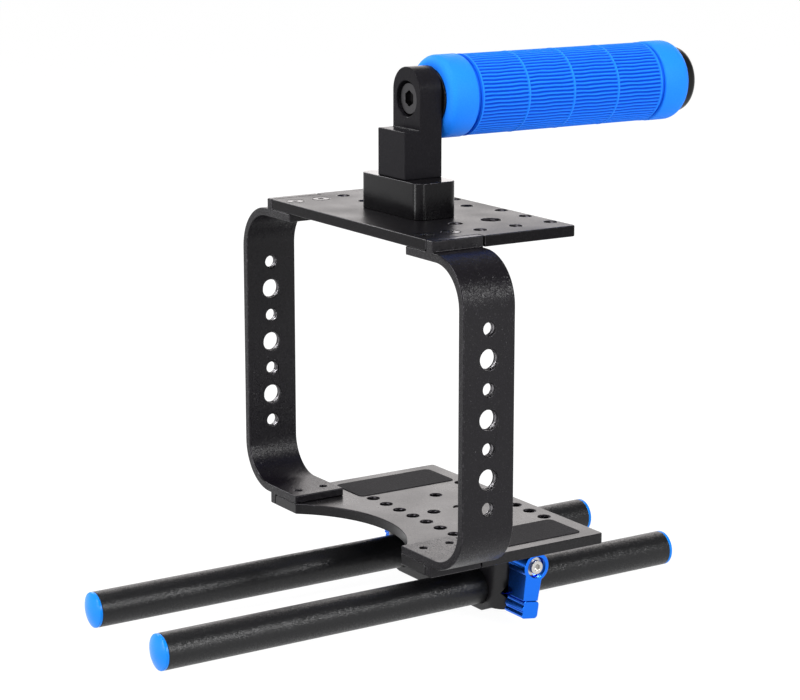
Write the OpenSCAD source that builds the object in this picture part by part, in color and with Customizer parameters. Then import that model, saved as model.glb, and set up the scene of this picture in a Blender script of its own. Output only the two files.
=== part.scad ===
// Camera cage: two plates joined by two bent side brackets, a handle on top, and a clamp
// with two levers that holds a pair of accessory rods under the base plate.
// Millimetres. X runs to the side, Y to the back and Z up. The origin is the mouth of the
// middle hole in the base plate's front row, where a camera's tripod screw goes up.

/* [Plates] */
// Width of both plates, side edge to side edge
plate_w = 129; // [126:0.5:134]
// Thickness of both plates
plate_t = 4.6; // [4.4:0.1:6]
// Depth of the base plate, front edge to rear edge
base_d = 87; // [84:0.5:95]
// Depth of the top plate, front edge to rear edge
top_d = 70; // [69:0.5:78]
// Radius of the plates' rear corners
plate_corner_r = 1.5; // [1:0.25:3]
// Depth of the curved cut in the base plate's front edge
arc_depth = 20; // [14:0.5:22]

/* [Side brackets] */
// Clear height between the two plates
inside_h = 128; // [122:1:140]
// Width of the bracket's flat bar, along the plate's edge
bracket_w = 24.5; // [23:0.5:26]
// Thickness of the bracket's flat bar
bracket_t = 3.5; // [3:0.1:4]
// How far the bracket's wall stands out beyond the plates' side edges
bracket_bulge = 22.1; // [20.6:0.1:27]
// Outer radius of the bracket's bends
bend_r = 20; // [15:0.5:20]
// Reach of the bracket's lower foot from the base plate's side edge inwards
foot_len = 22; // [20.5:0.5:23]
// Reach of the bracket's upper foot from the top plate's side edge inwards
top_foot_len = 19; // [18:0.5:23]
// Thickness of the lip that hooks over the plate's side edge
lip_t = 4.1; // [3.5:0.1:4.6]
// Fillet in the corner between lip and foot
lip_fillet = 0.8; // [0.4:0.1:1]
// Spacing of the seven holes in the bracket's wall
wall_pitch = 12.1; // [11:0.1:12.8]

/* [Accessory holes] */
// Bore of the quarter-inch tapped holes
quarter_d = 5.5; // [5.1:0.1:6]
// Bore of the three-eighth-inch tapped holes
three_eighth_d = 8.4; // [7.8:0.1:9]
// Distance from the plates' front edge to the camera screw row
front_row_inset = 33.5; // [31:0.5:36]
// Spacing of the holes in the base plate's two long rows
row_pitch = 10.6; // [9.6:0.1:10.9]
// Distance from the base plate's rear edge to its back row
back_row_inset = 6.8; // [6:0.1:8]
// Distance from the front row to the single hole behind it
middle_hole_step = 10.9; // [9:0.1:11]
// Half the distance between the pair of holes over the rod clamp
pair_x = 21.2; // [20:0.1:24]
// Distance from the front row back to that pair
pair_step = 26.1; // [24:0.1:27]
// Spacing of the top plate's holes, both ways
grid_pitch = 17.4; // [16.6:0.1:18]
// Distance from the top plate's rear edge to its rear row
grid_inset = 3.8; // [3.6:0.1:6]
// Distance from the top plate's rear row to its centre hole
grid_centre_step = 5.5; // [4:0.1:8]

/* [Camera pads] */
// Width of each rubber pad
pad_w = 22.2; // [20:0.2:22.6]
// Thickness of each rubber pad
pad_t = 1.3; // [1:0.1:2]
// Depth of the recess that a pad is glued in
pad_recess = 1; // [0.6:0.1:1.5]
// Corner radius of each pad
pad_r = 2.5; // [1.5:0.5:4]
// Plate left standing between the pad and the side edge
pad_edge = 5.8; // [5:0.1:6.2]
// Plate left standing between the pad and the rear edge
pad_rear = 7; // [6:0.5:9]
// Plate left standing between the bracket's foot and the pad
pad_front = 5.5; // [4:0.1:8]

/* [Rods] */
// Outside diameter of the rods
rod_d = 15; // [14:0.5:16]
// Wall of the rods' tube
rod_wall = 1.5; // [1:0.1:2]
// Distance between the rods' axes
rod_spacing = 60; // [56:1:64]
// Length of the rods without their end plugs
rod_len = 250; // [200:1:300]
// Reach of the right rod ahead of the plates' front edge
rod_reach = 104.1; // [60:0.1:140]
// How much further back the left rod is set
left_rod_back = 0.6; // [0:0.1:20]
// Distance of the rods' axes below the base plate's upper face
rod_drop = 25.7; // [25:0.1:29]
// Thickness of a plug's rim outside the rod
plug_rim = 1.3; // [0.5:0.1:1.8]
// Rise of a plug's dome over its rim
plug_dome = 1.8; // [0.8:0.1:2.4]
// Length of the plug's shank inside the rod
plug_shank = 9; // [6:0.5:12]

/* [Rod clamp] */
// Depth of the clamp block along the rods
clamp_d = 22; // [21:0.5:26]
// Distance from the plates' front edge to the clamp block's front face
clamp_inset = 46.9; // [46:0.1:50]
// Block left outboard of each rod's axis
clamp_side = 16; // [15:0.5:18]
// Block left under each rod
clamp_floor = 3.1; // [2.5:0.1:4]
// Width of the block's flat underside
clamp_low_w = 64; // [58:0.5:68]
// How far the underside of the block's outer ends lies above its flat
clamp_end_rise = 3.3; // [2:0.1:4]
// Width of the slope between the flat and each outer end
clamp_slope_w = 7.5; // [4:0.5:10]
// Radius of the block's upright edges
clamp_edge_r = 8.5; // [2:0.25:9]
// Radius of the block's lower front and rear edges
clamp_lower_r = 1; // [0.5:0.25:3]
// Width of the saw cut above each rod
slit_w = 1.5; // [1:0.1:2]

/* [Levers] */
// Diameter of a lever's hub
hub_d = 12.2; // [11:0.1:12.4]
// Depth of a lever's hub and arm along the screw's axis
lever_depth = 12; // [11:0.5:13]
// Distance from the screw's axis to the lever's tip
lever_reach = 21.9; // [20:0.1:26]
// Width of the arm beside the hub
arm_root_w = 8.6; // [8:0.1:9.4]
// Width of the arm above the tip
arm_end_w = 7.4; // [6.8:0.1:8]
// Width of the ribbed tip
tip_w = 8.2; // [7.8:0.1:9]
// Length of the ribbed tip
tip_len = 7.4; // [6.8:0.1:8.4]
// How far the tip's outer face stands proud of the arm
tip_step = 0.5; // [0.3:0.1:1]
// Forward lean of the tightened right lever, in degrees
lever_lean = 8.5; // [0:0.5:12]
// Backward lean of the tightened left lever, in degrees
left_lever_lean = 23; // [0:0.5:40]
// How far the arm lies ahead of the hub's centre
arm_offset = 0.8; // [0:0.1:1]
// Distance from the clamp block's front face to the levers' screws
lever_inset = 9; // [8:0.1:12]

/* [Handle foot and upright] */
// Width of the handle's foot block
foot_w = 45; // [42:0.5:50]
// Depth of the handle's foot block
foot_d = 20; // [19.4:0.1:22]
// Height of the handle's foot block
foot_h = 15.2; // [14:0.1:18]
// Radius of the foot block's upright corners
foot_r = 4.3; // [3:0.1:5]
// Distance from the plates' front edge to the foot block
foot_inset = 21; // [20:0.5:22]
// Width of the upright
upright_w = 20.5; // [19:0.5:22]
// Depth of the upright's lower block
upright_d = 18.4; // [17.5:0.1:19]
// Height of the upright's lower block
upright_h = 19.8; // [17:0.1:22]
// Depth of the lug that carries the grip
lug_d = 11; // [10:0.1:12.5]
// Height of the grip's axis above the top plate
grip_axis_h = 47.4; // [46:0.2:52]
// Height of the centre of the lug's round top above the grip's axis
lug_rise = 3; // [1:0.1:4]

/* [Grip] */
// Length of the rubber grip
grip_len = 126.4; // [115:0.1:140]
// Diameter of the grip's smooth collars
grip_collar_d = 34.8; // [33:0.2:37]
// Diameter over the grip's ribs
grip_rib_d = 34.2; // [33:0.2:36]
// Height of each rib
rib_h = 0.5; // [0.3:0.1:0.7]
// Number of ribs around the grip
rib_count = 64; // [40:4:72]
// Number of ribbed fields along the grip
field_count = 4; // [3:1:5]
// Length of the front collar
front_collar = 13.2; // [11:0.1:15]
// Length of the rear collar
rear_collar = 14.5; // [12:0.1:16]
// Rounding of the grip's front end
grip_front_r = 3.5; // [2:0.25:4.5]
// Rounding of the grip's rear end, up to the edge of the end cap
grip_rear_r = 5; // [4:0.25:6]
// Diameter of the bar inside the grip
core_d = 20; // [18:0.5:22]
// Diameter of the black end cap
end_cap_d = 28.8; // [27:0.2:30]
// Thickness of the end cap
end_cap_t = 5.4; // [4.5:0.1:6]

/* [Hidden] */

// Smoothness of small holes and screws, of turned pieces, and of large curves
small_fn = 24;
round_fn = 48;
large_fn = 96;
// How far a cut runs past the face that it opens
over = 1;

// Clearances: a sliding or turning fit, a seated piece, and the open gap at the lip's end
running = 0.05;
seat = 0.05;
lip_end_gap = 0.6;
lip_side_gap = 0.15;

// Countersunk bracket screws, drawn at the minor diameter where they are threaded
m4_r = 2;
m4_minor_r = 1.6;
m4_head_r = 3.8;
m4_head_land = 0.3;
m4_len = 7.4;
m4_pitch = 12.8;
m4_inset = 14.3;
hex_key_m4 = 2.5;
hex_key_m4_depth = 1.4;
// Screws of the handle's foot and upright
m5_r = 2.5;
m5_minor_r = 2.1;
m5_head_r = 4.25;
m5_csk_r = 4.6;
m5_csk_land = 0.3;
m5_head_h = 5;
m5_bite = 9;
m5_clear = 0.2;
foot_screw_x = 15;
upright_screw_x = 5;
hex_key_m5 = 4;
hex_key_m5_depth = 2.5;
// The grip's bolt: a low cap screw, sunk in the lug
m8_r = 4;
m8_minor_r = 3.35;
m8_head_r = 6.4;
m8_head_h = 5;
m8_clear = 0.2;
m8_bite = 18;
hex_key_m8 = 6;
hex_key_m8_depth = 3;
bolt_bore_r = 7.5;
bolt_sink = 1.4;
// The clamp's own screw and dowels
quarter_r = 3.1;
quarter_minor_r = quarter_d / 2 - seat;
quarter_clear = 0.2;
quarter_head_r = 4.75;
quarter_head_h = 6.35;
quarter_head_sink = 0.6;
head_clear = 0.35;
screw_short = 0.6;
hex_key_quarter = 4.76;
hex_key_quarter_depth = 3;
dowel_r = 2;
dowel_x = 12;
dowel_in_plate = 2.6;
dowel_in_block = 7;
dowel_end_gap = 0.2;
// The levers' studs, with a six-sided end, and their small retaining screws
stud_r = 2.95;
stud_bite = 14;
stud_end_gap = 0.5;
stud_hex = 5.5;
boss_r = 4.9;
boss_gap = 0.2;
lever_gap = 0.3;
lever_stand_off = 2.2;
tip_corner_r = 1.6;
tip_groove_r = 0.9;
tip_groove_out = 0.3;
tip_groove_step = 3.3;
tip_first_groove = 1.6;
cup_r = 4.4;
cup_depth = 3;
washer_r = 4.1;
washer_t = 0.8;
washer_bore_r = 1.7;
m3_minor_r = 1.3;
m3_head_r = 2.85;
m3_head_h = 2.4;
m3_bite = 6;
hex_key_m3 = 2.5;
hex_key_m3_depth = 1.5;
// The jaw's upper face stays this far under the plate, so that it can close
jaw_relief = 0.5;
// The handle's flange, and the spigot of the end cap
flange_r = 12.4;
flange_t = 0.9;
cap_spigot_r = 4;
cap_spigot_len = 12;
cap_edge_r = 3;
// The grip's rings and grooves
ring_w = 0.9;
ring_rise = 0.1;
groove_w = 1.5;
groove_depth = 1.1;
ring_gap = 0.4;
rib_top_share = 0.4;

// Worked-out places
plate_half = plate_w / 2;
front_y = -front_row_inset;
top_z = inside_h;
top_face_z = inside_h + plate_t;
wall_x = plate_half + bracket_bulge;
bracket_y = front_y + bracket_w / 2;
arc_half = plate_half - foot_len;
arc_r = (arc_half * arc_half + arc_depth * arc_depth) / (2 * arc_depth);
back_row_y = front_y + base_d - back_row_inset;
rear_grid_y = front_y + top_d - grid_inset;
pad_x = plate_half - pad_edge - pad_w / 2;
pad_len = base_d - bracket_w - pad_front - pad_rear;
pad_y = front_y + base_d - pad_rear - pad_len / 2;
rod_r = rod_d / 2;
rod_x = rod_spacing / 2;
rod_z = -rod_drop;
rod_y = front_y - rod_reach;
clamp_y = front_y + clamp_inset;
clamp_mid_y = clamp_y + clamp_d / 2;
clamp_half = rod_x + clamp_side;
clamp_top = -plate_t;
clamp_bottom = rod_z - rod_r - clamp_floor;
lever_y = clamp_y + lever_inset;
lever_z = clamp_top - lever_gap - hub_d / 2;
lever_in = clamp_half + lever_stand_off;
lever_out = lever_in + lever_depth;
foot_mid_y = front_y + foot_inset + foot_d / 2;
foot_rear_y = front_y + foot_inset + foot_d;
upright_z = top_face_z + foot_h;
grip_z = top_face_z + grip_axis_h;
grip_y = foot_rear_y + flange_t;
field_len = (grip_len - front_collar - rear_collar - 2 * groove_w - 2 * ring_gap
    - (field_count + 1) * ring_w) / field_count;

// Flat rectangle with round corners, centred
module round_rect(w, d, r) {
    square([w - 2 * r, d], center = true);
    square([w, d - 2 * r], center = true);
    for (sx = [-1, 1], sy = [-1, 1])
        translate([sx * (w / 2 - r), sy * (d / 2 - r)]) circle(r, $fn = small_fn);
}

// Turns a shape drawn along Z so that it points to the back
module along_y() {
    rotate([-90, 0, 0]) children();
}

// Turns an outline drawn in Y and Z, and its height, so that the height runs along X
module along_x() {
    rotate([90, 0, 90]) children();
}

// Through hole in a plate, from z = 0 up by the given thickness
module plate_hole(x, y, d, t) {
    translate([x, y, -over]) cylinder(h = t + 2 * over, d = d, $fn = small_fn);
}

// Countersunk screw, head up at z = 0, drawn downwards
module countersunk_screw(r, thread_r, head_r, land, length, key, key_depth) {
    cone = head_r - r;
    difference() {
        union() {
            translate([0, 0, -land]) cylinder(h = land, r = head_r, $fn = small_fn);
            translate([0, 0, -land - cone]) cylinder(h = cone, r1 = r, r2 = head_r, $fn = small_fn);
            translate([0, 0, -land - cone - seat]) cylinder(h = 2 * seat, r = thread_r, $fn = small_fn);
            translate([0, 0, -length]) cylinder(h = length - land - cone, r = thread_r, $fn = small_fn);
        }
        translate([0, 0, -key_depth]) cylinder(h = key_depth + over, d = key / cos(30), $fn = 6);
    }
}

// The room that a countersunk screw's head and shank take in a plate of the given thickness
module countersunk_room(r, head_r, land, t) {
    cone = head_r - r;
    translate([0, 0, -land]) cylinder(h = land + over, r = head_r + seat, $fn = small_fn);
    translate([0, 0, -land - cone]) cylinder(h = cone, r1 = r + seat, r2 = head_r + seat, $fn = small_fn);
    translate([0, 0, -t - over]) cylinder(h = t + over, r = r + seat, $fn = small_fn);
}

// Cap screw pointing up, its head's upper face at z = 0 and the key hole under it
module cap_screw_up(r, thread_r, head_r, head_h, plain, length, key, key_depth) {
    difference() {
        union() {
            translate([0, 0, -head_h]) cylinder(h = head_h, r = head_r, $fn = small_fn);
            cylinder(h = plain, r = r, $fn = small_fn);
            translate([0, 0, plain]) cylinder(h = length - plain, r = thread_r, $fn = small_fn);
        }
        translate([0, 0, -head_h - over]) cylinder(h = key_depth + over, d = key / cos(30), $fn = 6);
    }
}

// Places of the screws that hold the brackets' feet, the same in both plates
module at_bracket_screws() {
    for (sx = [-1, 1], sy = [-1, 1])
        translate([sx * (plate_half - m4_inset), bracket_y + sy * m4_pitch / 2, 0]) children();
}

// Outline of a plate with the two notches that the brackets' lips sit in
module plate_outline(d) {
    notch_w = lip_t + lip_side_gap;
    notch_d = bracket_w + lip_end_gap;
    difference() {
        union() {
            translate([0, front_y + d / 2]) round_rect(plate_w, d, plate_corner_r);
            translate([-plate_half, front_y]) square([plate_w, plate_corner_r * 2]);
        }
        for (sx = [-1, 1])
            translate([sx * (plate_half - notch_w / 2 + over / 2), front_y + notch_d / 2 - over / 2])
                square([notch_w + over, notch_d + over], center = true);
    }
}

// Bevels on a plate's edges that clear the fillets between the brackets' lips and feet.
// The plate's face lies at z = 0.
module lip_bevels() {
    for (sx = [-1, 1])
        translate([sx * (plate_half - lip_t - lip_side_gap), front_y - over, 0])
            along_y()
                linear_extrude(bracket_w + lip_end_gap + over)
                    rotate(45)
                        square((lip_fillet + lip_side_gap) * sqrt(2), center = true);
}

module base_plate() {
    color([0.2, 0.2, 0.21])
        difference() {
            translate([0, 0, -plate_t])
                linear_extrude(plate_t)
                    difference() {
                        plate_outline(base_d);
                        translate([0, front_y + arc_depth - arc_r]) circle(arc_r, $fn = large_fn);
                    }
            lip_bevels();
            // Front and back rows, the hole behind the front row, the pair over the clamp and
            // the hole of the clamp's screw
            translate([0, 0, -plate_t]) {
                for (i = [-3:3]) {
                    plate_hole(i * row_pitch, 0, quarter_d, plate_t);
                    plate_hole(i * row_pitch, back_row_y, quarter_d, plate_t);
                }
                plate_hole(0, middle_hole_step, quarter_d, plate_t);
                for (sx = [-1, 1]) plate_hole(sx * pair_x, pair_step, quarter_d, plate_t);
                plate_hole(0, clamp_mid_y, quarter_d, plate_t);
            }
            // Pad recesses
            for (sx = [-1, 1])
                translate([sx * pad_x, pad_y, -pad_recess])
                    linear_extrude(pad_recess + over)
                        round_rect(pad_w + 2 * seat, pad_len + 2 * seat, pad_r + seat);
            // Bracket screws go in from below, and the dowels of the clamp are blind
            translate([0, 0, -plate_t])
                at_bracket_screws()
                    mirror([0, 0, 1]) countersunk_room(m4_r, m4_head_r, m4_head_land, plate_t);
            for (sx = [-1, 1])
                translate([sx * dowel_x, clamp_mid_y, -plate_t - over])
                    cylinder(h = dowel_in_plate + over, r = dowel_r + seat, $fn = small_fn);
        }
}

module top_plate() {
    color([0.17, 0.17, 0.18])
        difference() {
            translate([0, 0, top_z]) linear_extrude(plate_t) plate_outline(top_d);
            translate([0, 0, top_z]) lip_bevels();
            translate([0, 0, top_z]) {
                for (sx = [-1, 1]) {
                    for (col = [1:3]) plate_hole(sx * col * grid_pitch, rear_grid_y, quarter_d, plate_t);
                    plate_hole(sx * 2 * grid_pitch, rear_grid_y - grid_pitch, three_eighth_d, plate_t);
                    plate_hole(sx * 3 * grid_pitch, rear_grid_y - grid_pitch, quarter_d, plate_t);
                    for (col = [2:3])
                        plate_hole(sx * col * grid_pitch, rear_grid_y - 2 * grid_pitch, quarter_d, plate_t);
                }
                plate_hole(0, rear_grid_y - grid_centre_step, quarter_d, plate_t);
            }
            translate([0, 0, top_face_z])
                at_bracket_screws() countersunk_room(m4_r, m4_head_r, m4_head_land, plate_t);
            for (sx = [-1, 1])
                translate([sx * foot_screw_x, foot_mid_y, top_z])
                    mirror([0, 0, 1]) countersunk_room(m5_r, m5_csk_r, m5_csk_land, plate_t);
        }
}

// The right bracket's edge, drawn in X and Z: foot, lip and bend at each end of the wall
module bracket_profile() {
    bend_x = wall_x - bend_r;
    translate([wall_x - bracket_t, bend_r]) square([bracket_t, inside_h - 2 * bend_r]);
    for (end = [0, 1])
        translate([0, end * inside_h])
            mirror([0, end]) {
                reach = end == 0 ? foot_len : top_foot_len;
                translate([plate_half - reach, 0]) square([bend_x - plate_half + reach, bracket_t]);
                translate([plate_half - lip_t, -plate_t]) square([lip_t, plate_t]);
                translate([plate_half - lip_t - lip_fillet, -lip_fillet])
                    difference() {
                        square(lip_fillet);
                        circle(lip_fillet, $fn = small_fn);
                    }
                translate([bend_x, bend_r])
                    difference() {
                        circle(bend_r, $fn = large_fn);
                        circle(bend_r - bracket_t, $fn = large_fn);
                        translate([-bend_r - over, -bend_r - over])
                            square([bend_r + over, 2 * (bend_r + over)]);
                        translate([-bend_r - over, 0]) square(2 * (bend_r + over));
                    }
            }
}

module bracket() {
    difference() {
        translate([0, front_y + bracket_w, 0])
            rotate([90, 0, 0])
                linear_extrude(bracket_w) bracket_profile();
        // Seven holes up the wall, quarter-inch and three-eighth-inch by turns
        for (i = [-3:3])
            translate([wall_x - bracket_t - over, bracket_y, inside_h / 2 + i * wall_pitch])
                rotate([0, 90, 0])
                    cylinder(h = bracket_t + 2 * over, d = i % 2 == 0 ? three_eighth_d : quarter_d,
                        $fn = small_fn);
        // Tapped holes in the feet
        for (z = [-over, inside_h - bracket_t - over], sy = [-1, 1])
            translate([plate_half - m4_inset, bracket_y + sy * m4_pitch / 2, z])
                cylinder(h = bracket_t + 2 * over, r = m4_minor_r + seat, $fn = small_fn);
    }
}

module right_bracket() {
    color([0.24, 0.23, 0.25]) bracket();
}

module left_bracket() {
    color([0.24, 0.23, 0.25]) mirror([1, 0, 0]) bracket();
}

module bracket_screw() {
    countersunk_screw(m4_r, m4_minor_r, m4_head_r, m4_head_land, m4_len, hex_key_m4, hex_key_m4_depth);
}

module top_bracket_screws() {
    color([0.75, 0.75, 0.73])
        translate([0, 0, top_face_z]) at_bracket_screws() bracket_screw();
}

module bottom_bracket_screws() {
    color([0.75, 0.75, 0.73])
        translate([0, 0, -plate_t]) at_bracket_screws() mirror([0, 0, 1]) bracket_screw();
}

module pad() {
    translate([0, 0, -pad_recess]) linear_extrude(pad_t) round_rect(pad_w, pad_len, pad_r);
}

module left_pad() {
    color([0.13, 0.13, 0.13]) translate([-pad_x, pad_y, 0]) pad();
}

module right_pad() {
    color([0.13, 0.13, 0.13]) translate([pad_x, pad_y, 0]) pad();
}

module handle_foot() {
    color([0.1, 0.1, 0.11])
        difference() {
            translate([0, foot_mid_y, top_face_z]) linear_extrude(foot_h) round_rect(foot_w, foot_d, foot_r);
            // Blind tapped holes for the screws that come up through the top plate
            for (sx = [-1, 1])
                translate([sx * foot_screw_x, foot_mid_y, top_face_z - over])
                    cylinder(h = m5_bite + over, r = m5_minor_r + seat, $fn = small_fn);
            // Sunk holes for the screws that go on up into the upright
            for (sx = [-1, 1])
                translate([sx * upright_screw_x, foot_mid_y, top_face_z - over]) {
                    cylinder(h = foot_h + 2 * over, r = m5_r + m5_clear, $fn = small_fn);
                    cylinder(h = m5_head_h + screw_short + over, r = m5_head_r + m5_clear, $fn = small_fn);
                }
        }
}

module handle_foot_screws() {
    color([0.12, 0.12, 0.12])
        for (sx = [-1, 1])
            translate([sx * foot_screw_x, foot_mid_y, top_z])
                mirror([0, 0, 1])
                    countersunk_screw(m5_r, m5_minor_r, m5_csk_r, m5_csk_land,
                        plate_t + m5_bite - screw_short, hex_key_m5, hex_key_m5_depth);
}

module upright_screws() {
    color([0.12, 0.12, 0.12])
        for (sx = [-1, 1])
            translate([sx * upright_screw_x, foot_mid_y, top_face_z + m5_head_h + screw_short])
                cap_screw_up(m5_r, m5_minor_r, m5_head_r, m5_head_h,
                    foot_h - m5_head_h - screw_short,
                    foot_h - m5_head_h + m5_bite - 2 * screw_short, hex_key_m5, hex_key_m5_depth);
}

module handle_upright() {
    lug_round_z = grip_z + lug_rise;
    color([0.1, 0.1, 0.11])
        difference() {
            union() {
                translate([-upright_w / 2, foot_rear_y - upright_d, upright_z])
                    cube([upright_w, upright_d, upright_h]);
                translate([-upright_w / 2, foot_rear_y - lug_d, upright_z])
                    cube([upright_w, lug_d, lug_round_z - upright_z]);
                translate([0, foot_rear_y - lug_d, lug_round_z])
                    along_y() cylinder(h = lug_d, d = upright_w, $fn = large_fn);
            }
            // Sunk hole for the grip's bolt
            translate([0, foot_rear_y - lug_d - over, grip_z])
                along_y() {
                    cylinder(h = lug_d + 2 * over, r = m8_r + m8_clear, $fn = round_fn);
                    cylinder(h = bolt_sink + m8_head_h + over, r = bolt_bore_r, $fn = round_fn);
                }
            for (sx = [-1, 1])
                translate([sx * upright_screw_x, foot_mid_y, upright_z - over])
                    cylinder(h = m5_bite + over, r = m5_minor_r + seat, $fn = small_fn);
        }
}

module handle_bolt() {
    plain = lug_d - bolt_sink - m8_head_h + flange_t;
    color([0.16, 0.16, 0.16])
        translate([0, foot_rear_y - lug_d + bolt_sink + m8_head_h, grip_z])
            along_y()
                rotate(30)
                    cap_screw_up(m8_r, m8_minor_r, m8_head_r, m8_head_h, plain,
                        plain + m8_bite - screw_short, hex_key_m8, hex_key_m8_depth);
}

module handle_collar() {
    color([0.1, 0.1, 0.1])
        translate([0, foot_rear_y, grip_z])
            along_y()
                difference() {
                    cylinder(h = flange_t, r = flange_r, $fn = round_fn);
                    translate([0, 0, -over])
                        cylinder(h = flange_t + 2 * over, r = m8_r + m8_clear, $fn = round_fn);
                }
}

module handle_core() {
    color([0.72, 0.72, 0.74])
        translate([0, grip_y, grip_z])
            along_y()
                difference() {
                    cylinder(h = grip_len, d = core_d, $fn = round_fn);
                    translate([0, 0, -over])
                        cylinder(h = m8_bite + over, r = m8_minor_r + seat, $fn = round_fn);
                    translate([0, 0, grip_len - cap_spigot_len - screw_short])
                        cylinder(h = cap_spigot_len + screw_short + over, r = cap_spigot_r + seat,
                            $fn = round_fn);
                }
}

// One ribbed field: a prism whose outline rises and falls once for each rib
module rib_field(h) {
    root_r = grip_rib_d / 2 - rib_h;
    step = 360 / rib_count;
    linear_extrude(h)
        polygon([for (i = [0:rib_count - 1], part = [0:2])
            let (
                a = step * (i + (part == 0 ? 0 : 1 / 2 + (part == 1 ? -1 : 1) * rib_top_share / 2)),
                r = part == 0 ? root_r : grip_rib_d / 2
            )
            r * [cos(a), sin(a)]]);
}

// A grip collar with one rounded end at z = 0, whose flat end face has the given radius
module grip_collar(h, end_r, face_r) {
    r = grip_collar_d / 2;
    reach = face_r - r + end_r;
    round_z = sqrt(end_r * end_r - reach * reach);
    rotate_extrude($fn = large_fn)
        intersection() {
            square([r, h]);
            union() {
                square([face_r, h]);
                translate([0, round_z]) square([r, h - round_z]);
                translate([r - end_r, round_z]) circle(end_r, $fn = round_fn);
            }
        }
}

module grip_disc(z, h, r) {
    translate([0, 0, z]) cylinder(h = h, r = r, $fn = large_fn);
}

module handle_grip() {
    groove_r = grip_rib_d / 2 - groove_depth;
    field_z = front_collar + groove_w + ring_gap;
    step = field_len + ring_w;
    color([0.13, 0.44, 0.95])
        translate([0, grip_y, grip_z])
            along_y()
                difference() {
                    union() {
                        grip_collar(front_collar, grip_front_r, grip_collar_d / 2 - grip_front_r);
                        translate([0, 0, grip_len])
                            mirror([0, 0, 1]) grip_collar(rear_collar, grip_rear_r, end_cap_d / 2);
                        grip_disc(front_collar, groove_w, groove_r);
                        grip_disc(grip_len - rear_collar - groove_w, groove_w, groove_r);
                        grip_disc(front_collar + groove_w, ring_gap, grip_rib_d / 2 - rib_h);
                        grip_disc(grip_len - rear_collar - groove_w - ring_gap, ring_gap,
                            grip_rib_d / 2 - rib_h);
                        for (i = [0:field_count])
                            grip_disc(field_z + i * step, ring_w, grip_rib_d / 2 + ring_rise);
                        for (i = [0:field_count - 1])
                            translate([0, 0, field_z + ring_w + i * step]) rib_field(field_len);
                    }
                    translate([0, 0, -over])
                        cylinder(h = grip_len + 2 * over, r = core_d / 2 + seat, $fn = large_fn);
                }
}

module handle_end_cap() {
    r = end_cap_d / 2;
    flat_t = end_cap_t - cap_edge_r;
    color([0.08, 0.08, 0.08])
        translate([0, grip_y + grip_len, grip_z])
            along_y()
                rotate_extrude($fn = large_fn) {
                    square([r - cap_edge_r, end_cap_t]);
                    square([r, flat_t]);
                    translate([r - cap_edge_r, flat_t])
                        intersection() {
                            circle(cap_edge_r, $fn = round_fn);
                            square(cap_edge_r);
                        }
                    translate([0, -cap_spigot_len]) square([cap_spigot_r, cap_spigot_len]);
                }
}

// Outline of the clamp block seen along the rods: its ends rise towards the levers
module clamp_front() {
    end_z = clamp_bottom + clamp_end_rise;
    low_x = clamp_low_w / 2;
    polygon([
        [-clamp_half, clamp_top], [clamp_half, clamp_top],
        [clamp_half, end_z], [low_x + clamp_slope_w, end_z], [low_x, clamp_bottom],
        [-low_x, clamp_bottom], [-low_x - clamp_slope_w, end_z], [-clamp_half, end_z]
    ]);
}

// Outline of the clamp block seen from the side, in Y and Z
module clamp_side_view() {
    h = clamp_top - clamp_bottom;
    r = clamp_lower_r;
    translate([clamp_y, clamp_bottom + r]) square([clamp_d, h - r]);
    translate([clamp_y + r, clamp_bottom]) square([clamp_d - 2 * r, h]);
    for (y = [clamp_y + r, clamp_y + clamp_d - r])
        translate([y, clamp_bottom + r]) circle(r, $fn = small_fn);
}

module rod_clamp() {
    h = clamp_top - clamp_bottom;
    color([0.15, 0.15, 0.16])
        difference() {
            intersection() {
                translate([0, clamp_y + clamp_d, 0])
                    rotate([90, 0, 0])
                        linear_extrude(clamp_d) clamp_front();
                translate([0, clamp_mid_y, clamp_bottom])
                    linear_extrude(h) round_rect(2 * clamp_half, clamp_d, clamp_edge_r);
                translate([-clamp_half, 0, 0])
                    along_x()
                        linear_extrude(2 * clamp_half) clamp_side_view();
            }
            for (sx = [-1, 1]) {
                // Rod bore and the saw cut above it, which leaves a jaw on the outer side
                translate([sx * rod_x, clamp_y - over, rod_z])
                    along_y() cylinder(h = clamp_d + 2 * over, r = rod_r + running, $fn = large_fn);
                translate([sx * rod_x - slit_w / 2, clamp_y - over, rod_z])
                    cube([slit_w, clamp_d + 2 * over, -rod_z + clamp_top + over]);
                translate([sx > 0 ? rod_x : -clamp_half - over, clamp_y - over, clamp_top - jaw_relief])
                    cube([clamp_side + over, clamp_d + 2 * over, jaw_relief + over]);
                // Bore of the lever's stud
                translate([sx * (clamp_half + over), lever_y, lever_z])
                    rotate([0, -90 * sx, 0])
                        cylinder(h = clamp_side + stud_bite + over, r = stud_r + running, $fn = round_fn);
                translate([sx * dowel_x, clamp_mid_y, clamp_top - dowel_in_block])
                    cylinder(h = dowel_in_block + over, r = dowel_r + seat, $fn = small_fn);
            }
            // Sunk hole of the screw that holds the block to the base plate
            translate([0, clamp_mid_y, clamp_bottom - over]) {
                cylinder(h = clamp_top - clamp_bottom + 2 * over, r = quarter_r + quarter_clear,
                    $fn = round_fn);
                cylinder(h = quarter_head_h + quarter_head_sink + over, r = quarter_head_r + head_clear,
                    $fn = round_fn);
            }
        }
}

module clamp_screw() {
    plain = clamp_top - clamp_bottom - quarter_head_h - quarter_head_sink;
    color([0.2, 0.2, 0.2])
        translate([0, clamp_mid_y, clamp_bottom + quarter_head_h + quarter_head_sink])
            cap_screw_up(quarter_r, quarter_minor_r, quarter_head_r, quarter_head_h, plain,
                plain + plate_t - screw_short, hex_key_quarter, hex_key_quarter_depth);
}

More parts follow.
